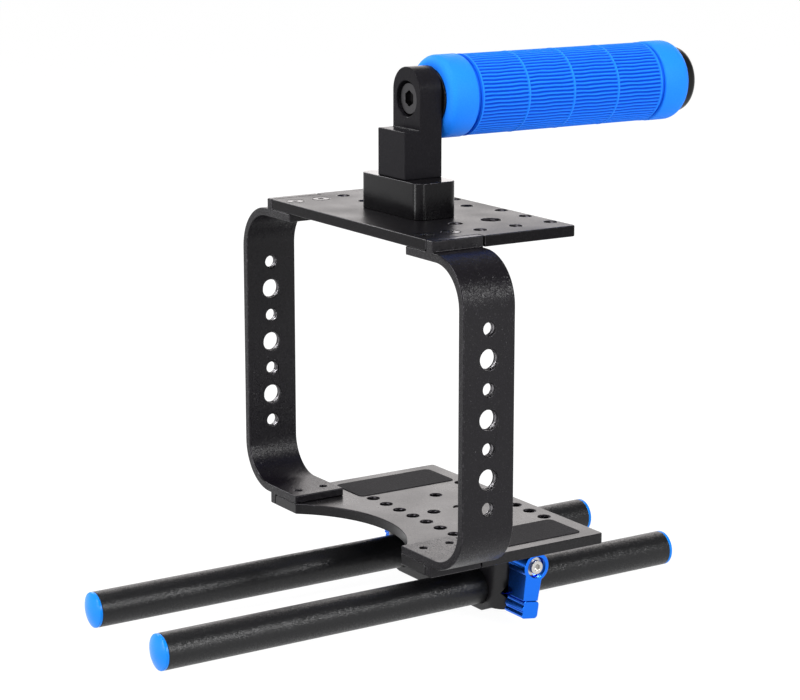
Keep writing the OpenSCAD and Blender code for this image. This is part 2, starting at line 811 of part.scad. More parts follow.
module clamp_dowels() {
    color([0.75, 0.75, 0.75])
        for (sx = [-1, 1])
            translate([sx * dowel_x, clamp_mid_y, clamp_top - dowel_in_block + dowel_end_gap])
                cylinder(h = dowel_in_block + dowel_in_plate - 2 * dowel_end_gap, r = dowel_r,
                    $fn = small_fn);
}

// Puts a lever piece drawn with its screw's axis along X, its arm down, on one side
module at_lever(side) {
    translate([0, lever_y, lever_z])
        rotate([side > 0 ? -lever_lean : left_lever_lean, 0, 0])
            scale([side, 1, 1]) children();
}

// Arm and tip of a lever, drawn in Y and Z with the screw's axis at the centre
module lever_outline() {
    tip_z = -lever_reach + tip_len;
    translate([-arm_offset, 0])
        polygon([
            [-arm_root_w / 2, 0], [-arm_end_w / 2, tip_z],
            [arm_end_w / 2, tip_z], [arm_root_w / 2, 0]
        ]);
}

module lever_tip_outline() {
    translate([-arm_offset, -lever_reach + tip_len / 2]) round_rect(tip_w, tip_len, tip_corner_r);
}

module lever() {
    difference() {
        union() {
            translate([lever_in, 0, 0])
                along_x()
                    linear_extrude(lever_depth) {
                        circle(d = hub_d, $fn = round_fn);
                        lever_outline();
                    }
            translate([lever_in, 0, 0])
                along_x()
                    linear_extrude(lever_depth + tip_step) lever_tip_outline();
            translate([clamp_half + boss_gap, 0, 0])
                rotate([0, 90, 0])
                    cylinder(h = lever_stand_off - boss_gap + lever_depth / 2, r = boss_r, $fn = round_fn);
        }
        // Cup for washer and screw, and the six-sided hole for the stud
        translate([lever_out - cup_depth, 0, 0])
            rotate([0, 90, 0]) cylinder(h = cup_depth + over, r = cup_r, $fn = round_fn);
        translate([clamp_half, 0, 0])
            rotate([0, 90, 0])
                cylinder(h = lever_out - clamp_half, d = (stud_hex + 2 * seat) / cos(30), $fn = 6);
        // Finger grooves across the tip's front
        for (i = [0, 1])
            translate([lever_in - over, -arm_offset - tip_w / 2 - tip_groove_out,
                    -lever_reach + tip_len - tip_first_groove - i * tip_groove_step])
                rotate([0, 90, 0])
                    cylinder(h = lever_depth + tip_step + 2 * over, r = tip_groove_r, $fn = small_fn);
    }
}

module lever_stud() {
    difference() {
        union() {
            translate([clamp_half - clamp_side - stud_bite + stud_end_gap, 0, 0])
                rotate([0, 90, 0])
                    cylinder(h = clamp_side + stud_bite - stud_end_gap + boss_gap, r = stud_r,
                        $fn = round_fn);
            translate([clamp_half + boss_gap, 0, 0])
                rotate([0, 90, 0])
                    cylinder(h = lever_out - cup_depth - clamp_half - boss_gap - seat,
                        d = stud_hex / cos(30), $fn = 6);
        }
        translate([lever_out - cup_depth - m3_bite, 0, 0])
            rotate([0, 90, 0]) cylinder(h = m3_bite + over, r = m3_minor_r + seat, $fn = small_fn);
    }
}

module lever_washer() {
    translate([lever_out - cup_depth, 0, 0])
        rotate([0, 90, 0])
            difference() {
                cylinder(h = washer_t, r = washer_r, $fn = round_fn);
                translate([0, 0, -over])
                    cylinder(h = washer_t + 2 * over, r = washer_bore_r, $fn = small_fn);
            }
}

module lever_screw() {
    head_x = lever_out - cup_depth + washer_t;
    difference() {
        union() {
            translate([head_x, 0, 0])
                rotate([0, 90, 0]) cylinder(h = m3_head_h, r = m3_head_r, $fn = small_fn);
            translate([head_x - washer_t - m3_bite + screw_short, 0, 0])
                rotate([0, 90, 0])
                    cylinder(h = washer_t + m3_bite - screw_short, r = m3_minor_r, $fn = small_fn);
        }
        translate([head_x + m3_head_h - hex_key_m3_depth, 0, 0])
            rotate([0, 90, 0])
                cylinder(h = hex_key_m3_depth + over, d = hex_key_m3 / cos(30), $fn = 6);
    }
}

module left_lever() { color([0.08, 0.38, 0.98]) at_lever(-1) lever(); }
module right_lever() { color([0.08, 0.38, 0.98]) at_lever(1) lever(); }
module left_lever_stud() { color([0.6, 0.6, 0.6]) at_lever(-1) lever_stud(); }
module right_lever_stud() { color([0.6, 0.6, 0.6]) at_lever(1) lever_stud(); }
module left_lever_washer() { color([0.8, 0.8, 0.8]) at_lever(-1) lever_washer(); }
module right_lever_washer() { color([0.8, 0.8, 0.8]) at_lever(1) lever_washer(); }
module left_lever_screw() { color([0.85, 0.85, 0.85]) at_lever(-1) lever_screw(); }
module right_lever_screw() { color([0.85, 0.85, 0.85]) at_lever(1) lever_screw(); }

// Rod, a tube with an open bore that the plugs close
module rod() {
    along_y()
        difference() {
            cylinder(h = rod_len, r = rod_r, $fn = large_fn);
            translate([0, 0, -over])
                cylinder(h = rod_len + 2 * over, r = rod_r - rod_wall, $fn = round_fn);
        }
}

// Plug with its dome towards +Z and its rim's inner face at z = 0
module plug() {
    dome_r = (rod_r * rod_r + plug_dome * plug_dome) / (2 * plug_dome);
    translate([0, 0, -plug_shank]) cylinder(h = plug_shank, r = rod_r - rod_wall - seat, $fn = round_fn);
    cylinder(h = plug_rim, r = rod_r, $fn = round_fn);
    translate([0, 0, plug_rim])
        rotate_extrude($fn = round_fn)
            intersection() {
                translate([0, plug_dome - dome_r]) circle(dome_r, $fn = 2 * large_fn);
                square([rod_r, plug_dome]);
            }
}

module front_plug() {
    along_y() mirror([0, 0, 1]) plug();
}

module rear_plug() {
    translate([0, rod_len, 0]) along_y() plug();
}

// Puts a rod or a plug drawn from the rod's front end on one side
module at_left() {
    translate([-rod_x, rod_y + left_rod_back, rod_z]) children();
}

module at_right() {
    translate([rod_x, rod_y, rod_z]) children();
}

module left_rod() { color([0.07, 0.07, 0.08]) at_left() rod(); }
module right_rod() { color([0.07, 0.07, 0.08]) at_right() rod(); }
module left_rod_front_plug() { color([0.1, 0.45, 0.95]) at_left() front_plug(); }
module left_rod_rear_plug() { color([0.1, 0.45, 0.95]) at_left() rear_plug(); }
module right_rod_front_plug() { color([0.1, 0.45, 0.95]) at_right() front_plug(); }
module right_rod_rear_plug() { color([0.1, 0.45, 0.95]) at_right() rear_plug(); }

base_plate();
top_plate();
left_bracket();
right_bracket();
top_bracket_screws();
bottom_bracket_screws();
left_pad();
right_pad();
handle_foot();
handle_foot_screws();
handle_upright();
upright_screws();
handle_bolt();
handle_collar();
handle_core();
handle_grip();
handle_end_cap();
rod_clamp();
clamp_screw();
clamp_dowels();
left_lever();
left_lever_stud();
left_lever_washer();
left_lever_screw();
right_lever();
right_lever_stud();
right_lever_washer();
right_lever_screw();
left_rod();
left_rod_front_plug();
left_rod_rear_plug();
right_rod();
right_rod_front_plug();
right_rod_rear_plug();
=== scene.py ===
import math

import bpy
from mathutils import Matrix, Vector


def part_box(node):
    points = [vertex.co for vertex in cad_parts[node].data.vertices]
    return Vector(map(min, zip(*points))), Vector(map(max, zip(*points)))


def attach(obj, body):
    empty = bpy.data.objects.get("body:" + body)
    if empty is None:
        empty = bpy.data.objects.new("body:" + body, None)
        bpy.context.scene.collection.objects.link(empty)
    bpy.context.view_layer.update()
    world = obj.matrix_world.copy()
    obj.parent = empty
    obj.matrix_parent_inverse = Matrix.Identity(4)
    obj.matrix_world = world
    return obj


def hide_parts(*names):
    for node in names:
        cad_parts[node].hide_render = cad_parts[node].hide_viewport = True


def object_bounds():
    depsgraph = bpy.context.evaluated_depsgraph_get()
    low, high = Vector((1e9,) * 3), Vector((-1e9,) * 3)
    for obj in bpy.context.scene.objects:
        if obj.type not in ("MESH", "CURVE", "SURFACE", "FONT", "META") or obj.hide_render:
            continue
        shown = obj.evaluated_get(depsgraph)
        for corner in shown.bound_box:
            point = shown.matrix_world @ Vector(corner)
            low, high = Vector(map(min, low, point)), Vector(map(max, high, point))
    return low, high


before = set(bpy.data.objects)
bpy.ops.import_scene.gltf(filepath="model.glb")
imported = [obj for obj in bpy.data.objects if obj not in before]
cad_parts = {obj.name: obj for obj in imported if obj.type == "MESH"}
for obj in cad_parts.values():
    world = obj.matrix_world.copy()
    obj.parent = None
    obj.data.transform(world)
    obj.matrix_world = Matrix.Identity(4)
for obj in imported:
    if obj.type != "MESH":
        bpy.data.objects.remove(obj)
cad_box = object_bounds()

# Camera, lights and floor.
# A product shot on a white sweep: a long lens from the front right, a little above, one broad
# soft box behind for the plates' tops, and smaller ones that the bends, rods and edges mirror.
MM = 0.001
AIM = Vector((-0.07, -6.53, 73.9)) * MM
AZIMUTH, ELEVATION, DISTANCE = math.radians(57.13), math.radians(12.68), 998.87 * MM
FOCAL_PIXELS, FRAME_WIDTH, SENSOR_WIDTH = 2363.95, 800, 36.0
NEAREST, FARTHEST = 0.02, 50
WALL_TOP, WALL_FOOT_LIGHT, CEILING_LIGHT = 0.45, 0.93, 0.3
FLOOR_SIZE, FLOOR_DROP, PAPER_GLOW = 40.0, 0.3 * MM, 0.96


def linear(code):
    """sRGB hex as the linear colour, with alpha, that Blender's sockets take."""
    parts = [int(code[i:i + 2], 16) / 255 for i in (1, 3, 5)]
    return [c / 12.92 if c <= 0.04045 else ((c + 0.055) / 1.055) ** 2.4 for c in parts] + [1.0]


def add(tree, kind, settings=None, links=None):
    """Adds a node; settings are attributes or input values, links are input name to output socket."""
    node = tree.nodes.new(kind)
    for name, value in (settings or {}).items():
        if name in node.inputs:
            node.inputs[name].default_value = value
        else:
            setattr(node, name, value)
    for name, socket in (links or {}).items():
        tree.links.new(socket, node.inputs[name])
    return node


def blank_tree(data):
    """Empties the node tree of a world or a material, ready for its own nodes."""
    data.use_nodes = True
    data.node_tree.nodes.clear()
    return data.node_tree


def soft_box(name, place, target, size, watts, colour="#ffffff"):
    """A rectangular lamp at place, turned to target. Places and size (width, height) are metres."""
    light = bpy.data.lights.new(name, "AREA")
    light.shape = "RECTANGLE"
    light.size, light.size_y = size
    light.energy = watts
    light.color = linear(colour)[:3]
    lamp = bpy.data.objects.new(name, light)
    lamp.location = Vector(place)
    lamp.rotation_euler = (Vector(target) - Vector(place)).to_track_quat("-Z", "Y").to_euler()
    bpy.context.collection.objects.link(lamp)


back = Vector((math.sin(AZIMUTH) * math.cos(ELEVATION),
               -math.cos(AZIMUTH) * math.cos(ELEVATION), math.sin(ELEVATION)))
lens = bpy.data.cameras.new("camera")
lens.sensor_width = SENSOR_WIDTH
lens.lens = SENSOR_WIDTH * FOCAL_PIXELS / FRAME_WIDTH
lens.clip_start, lens.clip_end = NEAREST, FARTHEST
camera = bpy.data.objects.new("camera", lens)
camera.location = AIM + back * DISTANCE
camera.rotation_euler = (-back).to_track_quat("-Z", "Y").to_euler()
bpy.context.collection.objects.link(camera)
bpy.context.scene.camera = camera

soft_box("overhead_soft_box", (0.1, -0.35, 1.3), (0, 0, 0.08), size=(0.6, 0.6), watts=13)
soft_box("rear_soft_box", (-1.25, 0.95, 0.72), (0, 0, 0.08), size=(2.2, 1.1), watts=15,
         colour="#fff9f8")
soft_box("right_soft_box", (1.19, 0.42, 0.62), (0, 0, 0.03), size=(0.3, 0.3), watts=10)
soft_box("left_soft_box", (-1.15, -0.3, 0.8), (0, 0, 0.1), size=(0.45, 0.45), watts=6)
soft_box("front_strip", (-0.1, -0.62, 0.16), (0, 0, 0.1), size=(0.16, 0.36), watts=1.8)
soft_box("edge_soft_box", (0.32, -0.96, 0.7), (0, 0, 0.12), size=(0.3, 0.3), watts=3.5)
soft_box("side_strip", (0.75, 0.0, 0.13), (0, 0, 0.1), size=(0.16, 0.3), watts=0.7)

# The walls are pale at the floor and dim towards the ceiling, so glossy faces mirror a gradient
# and not one flat white. WALL_TOP is the sine of the angle up at which they reach the ceiling.
world = bpy.data.worlds.new("pale_studio_walls")
bpy.context.scene.world = world
tree = blank_tree(world)
coord = add(tree, "ShaderNodeTexCoord")
split = add(tree, "ShaderNodeSeparateXYZ", links={"Vector": coord.outputs["Generated"]})
height = add(tree, "ShaderNodeMapRange",
             {"From Min": 0.0, "From Max": WALL_TOP, "To Min": WALL_FOOT_LIGHT, "To Max": CEILING_LIGHT},
             {"Value": split.outputs["Z"]})
sky = add(tree, "ShaderNodeBackground", {"Color": linear("#ffffff")},
          {"Strength": height.outputs["Result"]})
add(tree, "ShaderNodeOutputWorld", links={"Surface": sky.outputs["Background"]})

# Lit matt paper: most of its white is its own glow, so it takes only the faintest shadow.
paper = bpy.data.materials.new("white_paper_sweep")
tree = blank_tree(paper)
matt = add(tree, "ShaderNodeBsdfDiffuse", {"Color": linear("#5a5a5a")})
glow = add(tree, "ShaderNodeEmission", {"Color": linear("#ffffff"), "Strength": PAPER_GLOW})
both = add(tree, "ShaderNodeAddShader")
tree.links.new(matt.outputs["BSDF"], both.inputs[0])
tree.links.new(glow.outputs["Emission"], both.inputs[1])
add(tree, "ShaderNodeOutputMaterial", links={"Surface": both.outputs["Shader"]})

bpy.ops.mesh.primitive_plane_add(size=FLOOR_SIZE, location=(0, 0, cad_box[0][2] - FLOOR_DROP))
floor = bpy.context.object
floor.name = "floor"
floor.data.materials.append(paper)
bpy.context.scene.view_settings.view_transform = "Standard"

# Base plate.
# Flat aluminium plate, milled, drilled and tapped, bead blasted and then black anodised.
# Every edge is broken by a small chamfer, and the tapped holes show their threads.

# Sizes from here on are in millimetres. A plate's holes are given by their x and y.
PLATE_CHAMFER, DOWN = 0.4, (0, 0, -1)
HOLE_STEP, HOLE_ROWS, MIDDLE_HOLES = 10.6, (0, 46.7), [(0, 10.9), (-21.2, 26.1), (21.2, 26.1)]
# Each thread is its hole's bore and its pitch. Its rib stands RISE off the bore's wall and is
# sunk into it by SINK; half its foot, half its crest and the bare ends are shares of the pitch.
# A turn is drawn in TURN_STEPS, and the rib rises to its height in FADE_STEPS of them.
QUARTER_INCH, THREE_EIGHTHS_INCH = (5.5, 1.27), (8.4, 1.5875)
RIB_RISE, RIB_SINK, HALF_FOOT, HALF_CREST, BARE_END = 0.28, 0.06, 0.36, 0.06, 0.4
TURN_STEPS, FADE_STEPS = 28, 6
# The distance that joins the CAD's corners, and the angles of a flat and of an edge in degrees.
JOIN, FLAT_ANGLE, EDGE_ANGLE = 0.001, 1.2, 32
# How far the gloss drifts and over what length, the share of grains that hardly lean, and how
# much of the tilt they take. Then the same drift for tool marks, their depth, and a worn spot.
GLOSS_DRIFT, DRIFT_LENGTH, QUIET_GRAINS, QUIET_TILT = 0.05, 26, 0.6, 0.2
TOOL_GLOSS_DRIFT, TOOL_MARK_DEPTH, WORN_SPOT = 0.08, 0.01, 1.4


def node_box(name):
    """A CAD node's lowest and highest corner, in millimetres."""
    low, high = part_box(name)
    return low / MM, high / MM


def dress(name, material, edge, segments=2, worn=None):
    """Gives a CAD node its finish, and rounds its edges by edge mm, in the finish worn if given."""
    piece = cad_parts[name]
    for holder in piece.material_slots:
        holder.material = material
    # The solid's stored normals go, and its triangles join into whole faces, so that the bevel
    # finds the real edges and nothing else.
    for layer in ("custom_normal", "sharp_edge"):
        if layer in piece.data.attributes:
            piece.data.attributes.remove(piece.data.attributes[layer])
    weld = piece.modifiers.new("join faces", "WELD")
    weld.merge_threshold = JOIN * MM
    flat = piece.modifiers.new("merge flats", "DECIMATE")
    flat.decimate_type = "DISSOLVE"
    flat.angle_limit = math.radians(FLAT_ANGLE)
    bevel = piece.modifiers.new("broken edges", "BEVEL")
    bevel.width = edge * MM
    bevel.segments = segments
    bevel.limit_method = "ANGLE"
    bevel.angle_limit = math.radians(EDGE_ANGLE)
    bevel.use_clamp_overlap = False
    bevel.harden_normals = True
    if worn:
        piece.data.materials.append(worn)
        bevel.material = len(piece.data.materials) - 1
    for face in piece.data.polygons:
        face.use_smooth = True


def blank_finish(name):
    """A new material: itself, its emptied tree, and the place on the object for its patterns."""
    finish = bpy.data.materials.new(name)
    tree = blank_tree(finish)
    return finish, tree, add(tree, "ShaderNodeTexCoord").outputs["Object"]


def tip_grains(tree, grains, tilt):
    """The normal, tipped in each grain by the grain's own colour. tilt is a number or a socket."""
    facing = add(tree, "ShaderNodeNewGeometry")
    settings = {"data_type": "RGBA", "blend_type": "LINEAR_LIGHT"}
    links = {"A": facing.outputs["Normal"], "B": grains.outputs["Color"]}
    if isinstance(tilt, float):
        settings["Factor"] = tilt
    else:
        links["Factor"] = tilt
    tipped = add(tree, "ShaderNodeMix", settings, links)
    unit = add(tree, "ShaderNodeVectorMath", {"operation": "NORMALIZE"},
               {"Vector": tipped.outputs["Result"]})
    return unit.outputs["Vector"]


def anodised(name, colour, painted_glint_colour, grain, rough, tilt, mirror):
    """Anodised aluminium: a dyed oxide skin, so it mirrors as glass does, over blasted metal.

    Paler specks, grain mm wide, in the paler speck colour, are painted glints. Four in ten grains
    lean by up to tilt, and glint. The gloss drifts a little over the piece, as dipping and
    handling leave it.
    """
    finish, tree, place = blank_finish(name)
    fine = add(tree, "ShaderNodeTexNoise", {"Scale": 1 / (grain * MM), "Detail": 3.0, "Roughness": 0.6},
               {"Vector": place})
    # Painted glints: paler specks mixed into the base colour.
    painted_glint_mask = add(tree, "ShaderNodeMapRange", {"From Min": 0.5, "From Max": 0.72},
               {"Value": fine.outputs["Fac"]})
    tone = add(tree, "ShaderNodeMix", {"data_type": "RGBA", "A": linear(colour), "B": linear(painted_glint_colour)},
               {"Factor": painted_glint_mask.outputs["Result"]})
    broad = add(tree, "ShaderNodeTexNoise", {"Scale": 1 / (DRIFT_LENGTH * MM), "Detail": 2.0},
                {"Vector": place})
    gloss = add(tree, "ShaderNodeMapRange",
                {"From Min": 0.3, "From Max": 0.7,
                 "To Min": rough - GLOSS_DRIFT, "To Max": rough + GLOSS_DRIFT},
                {"Value": broad.outputs["Fac"]})
    grains = add(tree, "ShaderNodeTexVoronoi", {"Scale": 1 / (grain * MM)}, {"Vector": place})
    draw = add(tree, "ShaderNodeTexWhiteNoise", links={"Vector": grains.outputs["Position"]})
    lean = add(tree, "ShaderNodeMapRange",
               {"From Min": QUIET_GRAINS, "From Max": 1.0, "To Min": QUIET_TILT * tilt, "To Max": tilt},
               {"Value": draw.outputs["Value"]})
    skin = add(tree, "ShaderNodeBsdfPrincipled", {"Specular IOR Level": mirror},
               {"Base Color": tone.outputs["Result"], "Roughness": gloss.outputs["Result"],
                "Normal": tip_grains(tree, grains, lean.outputs["Result"])})
    add(tree, "ShaderNodeOutputMaterial", links={"Surface": skin.outputs["BSDF"]})
    return finish


def tooled_metal(name, colour, rough, mark):
    """Metal with the marks of the tool that cut it, mark mm wide, in its gloss and its relief."""
    finish, tree, place = blank_finish(name)
    marks = add(tree, "ShaderNodeTexNoise", {"Scale": 1 / (mark * MM), "Detail": 2.0},
                {"Vector": place})
    gloss = add(tree, "ShaderNodeMapRange",
                {"To Min": rough - TOOL_GLOSS_DRIFT, "To Max": rough + TOOL_GLOSS_DRIFT},
                {"Value": marks.outputs["Fac"]})
    relief = add(tree, "ShaderNodeBump", {"Strength": 0.2, "Distance": TOOL_MARK_DEPTH * MM},
                 {"Height": marks.outputs["Fac"]})
    skin = add(tree, "ShaderNodeBsdfPrincipled", {"Base Color": linear(colour), "Metallic": 1.0},
               {"Roughness": gloss.outputs["Result"], "Normal": relief.outputs["Normal"]})
    add(tree, "ShaderNodeOutputMaterial", links={"Surface": skin.outputs["BSDF"]})
    return finish


def new_piece(name, verts, faces, material):
    """A piece of its own mesh that stands still with the cage."""
    mesh = bpy.data.meshes.new(name)
    mesh.from_pydata(verts, [], faces)
    mesh.materials.append(material)
    piece = bpy.data.objects.new(name, mesh)
    bpy.context.collection.objects.link(piece)
    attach(piece, "cage")
    return piece


def cut_threads(name, holes, depth, material):
    """Helical ribs in tapped holes depth mm deep. A hole is its mouth in mm, the way in, its thread."""
    verts, faces = [], []
    for mouth, inward, (bore, pitch) in holes:
        inward = Vector(inward)
        side = inward.orthogonal().normalized()
        other = inward.cross(side)
        count = int((depth - 2 * BARE_END * pitch) / pitch * TURN_STEPS)
        first, last = len(verts), len(verts) + 4 * count
        for i in range(count + 1):
            angle = 2 * math.pi * i / TURN_STEPS
            along = pitch * (BARE_END + i / TURN_STEPS)
            out = side * math.cos(angle) + other * math.sin(angle)
            rise = RIB_RISE * min(1.0, i / FADE_STEPS, (count - i) / FADE_STEPS)
            for shift, reach in ((-HALF_FOOT, RIB_SINK), (-HALF_CREST, -rise),
                                 (HALF_CREST, -rise), (HALF_FOOT, RIB_SINK)):
                corner = Vector(mouth) + inward * (along + shift * pitch) + out * (bore / 2 + reach)
                verts.append(tuple(corner * MM))
        for a in range(first, last, 4):
            faces += [(a, a + 1, a + 5, a + 4), (a + 1, a + 2, a + 6, a + 5),
                      (a + 2, a + 3, a + 7, a + 6), (a + 3, a, a + 4, a + 7)]
        faces += [(first + 3, first + 2, first + 1, first), (last, last + 1, last + 2, last + 3)]
    new_piece(name, verts, faces, material)


# Bead blasted before the dye: black without a clear reflection, with a soft grey sheen where it
# faces a light. Real pits are about 0.1 mm across, a quarter of a pixel here, so on this and the
# other anodised finishes they are drawn about a pixel wide, to show at all.
black_anodising = anodised("blasted_black_anodised_aluminium", "#09080a", painted_glint_colour="#242225",
                           grain=0.42, rough=0.3, tilt=0.05, mirror=0.27)
# Tapped after the dye, so the flanks are bare metal, but painted far darker than bare metal:
# painted shade for the dark holes, with thin grey crescents. The tap's real marks are finer
# than 0.2 mm and wouldn't show.
shaded_cut_thread = tooled_metal("tapped_bare_thread_painted_shade", "#343235", rough=0.28, mark=0.2)
# The skin is thin on a chamfer and gets handled: the edge reads as a fine line, a little paler
# than the face, with faint worn spots along it.
rubbed_edge, tree, place = blank_finish("rubbed_anodised_edge")
wear = add(tree, "ShaderNodeTexNoise", {"Scale": 1 / (WORN_SPOT * MM), "Detail": 3.0, "Roughness": 0.7},
           {"Vector": place})
spots = add(tree, "ShaderNodeMapRange", {"From Min": 0.52, "From Max": 0.85},
            {"Value": wear.outputs["Fac"]})
tone = add(tree, "ShaderNodeMix", {"data_type": "RGBA", "A": linear("#2c2b2d"), "B": linear("#565458")},
           {"Factor": spots.outputs["Result"]})
skin = add(tree, "ShaderNodeBsdfPrincipled", {"Metallic": 1.0, "Roughness": 0.32},
           {"Base Color": tone.outputs["Result"]})
add(tree, "ShaderNodeOutputMaterial", links={"Surface": skin.outputs["BSDF"]})

dress("base_plate", black_anodising, edge=PLATE_CHAMFER, worn=rubbed_edge)
low, high = node_box("base_plate")
mouths = [(HOLE_STEP * i, y) for i in range(-3, 4) for y in HOLE_ROWS] + MIDDLE_HOLES
cut_threads("base_plate_threads", [((x, y, high.z), DOWN, QUARTER_INCH) for x, y in mouths],
            high.z - low.z, shaded_cut_thread)

# Rubber pads.
# Thin die-cut rubber with a fine pebbled face, glued in shallow recesses.
# The camera body stands on them, so they sit just proud of the plate.
PEBBLE, PEBBLE_RELIEF, PAD_EDGE = 0.9, 0.12, 0.25
# Moulded against a pebbled plate: charcoal without gloss, in a fine net of slightly paler rims.
pebbled_rubber, tree, place = blank_finish("pebbled_black_rubber")
pebbles = add(tree, "ShaderNodeTexVoronoi", {"Scale": 1 / (PEBBLE * MM)}, {"Vector": place})
relief = add(tree, "ShaderNodeBump", {"Strength": 0.6, "Distance": PEBBLE_RELIEF * MM},
             {"Height": pebbles.outputs["Distance"]})
shade = add(tree, "ShaderNodeMix", {"data_type": "RGBA", "A": linear("#1d1c1e"), "B": linear("#2b2a2c")},
            {"Factor": pebbles.outputs["Distance"]})
skin = add(tree, "ShaderNodeBsdfPrincipled", {"Roughness": 0.85, "Specular IOR Level": 0.15},
           {"Base Color": shade.outputs["Result"], "Normal": relief.outputs["Normal"]})
add(tree, "ShaderNodeOutputMaterial", links={"Surface": skin.outputs["BSDF"]})
for side in ("left", "right"):
    dress(side + "_pad", pebbled_rubber, edge=PAD_EDGE)

# Side brackets.
# Each is one flat aluminium bar bent into a C, with a lip at both ends that hooks over the
# plate's edge. Blasted with a coarser grit than the plates, and black anodised.
BAR_THICKNESS, BAR_ROUND, WALL_STEP = 3.5, 0.5, 12.1
# Single grains catch the light on the bends and glint.
blasted_bar = anodised("coarse_blasted_black_anodised_aluminium", "#070509", painted_glint_colour="#15111a",
                       grain=0.34, rough=0.35, tilt=0.3, mirror=0.24)
# The same bare metal as in the base plate, painted paler here: a painted highlight, so that
# these holes show bright thin crescents.
painted_lit_thread = tooled_metal("bare_thread_painted_highlight", "#828083", rough=0.25, mark=0.2)
for side in ("left", "right"):
    dress(side + "_bracket", blasted_bar, edge=BAR_ROUND, segments=3, worn=rubbed_edge)
# The holes are counted up and down from the middle of the wall, and bored in from outside.
low, high = node_box("right_bracket")
middle = (low + high) / 2
holes = []
for i in range(-3, 4):
    for sign in (-1, 1):
        holes.append(((sign * high.x, middle.y, middle.z + WALL_STEP * i), (-sign, 0, 0),
                      THREE_EIGHTHS_INCH if i % 2 == 0 else QUARTER_INCH))
cut_threads("bracket_threads", holes, BAR_THICKNESS, painted_lit_thread)

# Top plate.
# The same stock as the base plate with a finer finish. Sunk screws hold it on the brackets' upper
# lips, and its grid of holes is tapped 1/4 inch, but for one 3/8 inch hole on each side.
GRID_STEP, REAR_ROW_Y, MIDDLE_HOLE_Y = 17.4, 32.7, 27.2
# Each grid hole by its column from the middle line and its row from the rear, on both sides.
GRID_HOLES, LARGE_HOLE = ((1, 0), (2, 0), (3, 0), (3, 1), (2, 2), (3, 2), (2, 1)), (2, 1)
# Fine blasting: an even soft black, which goes pale only where it is seen at a low angle.
top_anodising = anodised("fine_black_anodised_aluminium", "#0a090b", painted_glint_colour="#1f1d20",
                         grain=0.35, rough=0.34, tilt=0.05, mirror=0.07)
dress("top_plate", top_anodising, edge=PLATE_CHAMFER, worn=rubbed_edge)
low, high = node_box("top_plate")
holes = []
for sign in (-1, 1):
    for column, row in GRID_HOLES:
        holes.append(((sign * GRID_STEP * column, REAR_ROW_Y - GRID_STEP * row, high.z), DOWN,
                      THREE_EIGHTHS_INCH if (column, row) == LARGE_HOLE else QUARTER_INCH))
holes.append(((0, MIDDLE_HOLE_Y, high.z), DOWN, QUARTER_INCH))
cut_threads("top_plate_threads", holes, high.z - low.z, shaded_cut_thread)

# Screws, dowels and the levers' washers and studs.
# Black oxide screws hold the cage together; the levers have bright stainless ones.
# All are turned, with their edges just broken.
TURNING_MARK = 0.3
SCREW_EDGE, STUD_EDGE, WASHER_EDGE, LEVER_SCREW_EDGE = 0.12, 0.1, 0.15, 0.22
# Turned and left bright: pale grey, with a slightly broken shine. Real turning marks are finer
# than 0.1 mm, and are drawn wider so that they show.
stainless = tooled_metal("turned_stainless_steel", "#c4c2bf", rough=0.28, mark=TURNING_MARK)
# Blackened in a hot bath: dark metal that still shines at the rims of the sockets.
black_oxide = tooled_metal("black_oxide_steel", "#454446", rough=0.3, mark=TURNING_MARK)
for name in ("top_bracket_screws", "bottom_bracket_screws", "handle_foot_screws", "upright_screws",
             "handle_bolt", "clamp_screw"):
    dress(name, black_oxide, edge=SCREW_EDGE, segments=1)
for name in ("clamp_dowels", "left_lever_stud", "right_lever_stud"):
    dress(name, stainless, edge=STUD_EDGE, segments=1)
for side in ("left", "right"):
    dress(side + "_lever_washer", stainless, edge=WASHER_EDGE)
    dress(side + "_lever_screw", stainless, edge=LEVER_SCREW_EDGE)

# Handle foot and upright.
# Two solid aluminium blocks, machined and black anodised. The upright's lug has a round top and
# a sunk hole for the grip's bolt, and a short collar stands between the lug and the grip.
BLOCK_EDGE, LUG_EDGE = 0.3, 0.4
# Milled smooth and not blasted: deep black, with clear dim reflections down its corners.
block_anodising = anodised("machined_black_anodised_aluminium", "#070608", painted_glint_colour="#151416",
                           grain=0.35, rough=0.17, tilt=0.04, mirror=0.17)
# Lightly blasted: its flat sides stay an even very dark grey beside the foot.
satin_anodising = anodised("satin_black_anodised_aluminium", "#151417", painted_glint_colour="#242326",
                           grain=0.35, rough=0.3, tilt=0.06, mirror=0.05)
dress("handle_foot", block_anodising, edge=BLOCK_EDGE, worn=rubbed_edge)
dress("handle_upright", satin_anodising, edge=LUG_EDGE, segments=3)
dress("handle_collar", block_anodising, edge=BLOCK_EDGE)

# Grip.
# A thick blue rubber sleeve moulded with fine lengthwise ribs in four fields, pushed over an
# aluminium bar and closed by a black plastic cap. The ribs wave a little from field to field.

# Distances run along the grip, back from its front face, and _R is a radius about its axis.
grip_low, grip_high = node_box("handle_grip")
GRIP_LENGTH, COLLAR_R = grip_high.y - grip_low.y, (grip_high.z - grip_low.z) / 2
GRIP_START, GRIP_AXIS_Z = grip_low.y, (grip_low.z + grip_high.z) / 2
BORE_R, BORE_EDGE = 10.06, 1.6
FRONT_COLLAR, REAR_COLLAR, COLLAR_LIP = 13.2, 14.5, 0.8
FRONT_ROUND, REAR_ROUND, REAR_FACE_R, REAR_STEPS = 3.6, 5.0, 14.4, 9
GROOVE_WIDTH, GROOVE_R = 1.5, 16.0
GAP_WIDTH, GAP_R = 0.4, 16.75
RING_WIDTH, RING_FOOT_R, RING_R, RING_EDGE = 0.7, 17.12, 17.22, 0.25
RIBS, RIB_STEPS, RIB_R, RIB_DEPTH, CREST_WIDTH = 64, 8, 17.1, 0.55, 1.12
FIELDS, FIELD_STEPS, FIELD_RAMP, FIELD_FOOT, FOOT_DEPTH = 4, 26, 0.5, 0.05, 0.15
WAVE, LONG_WAVE, SHORT_WAVE = 0.05, 17, 9.1
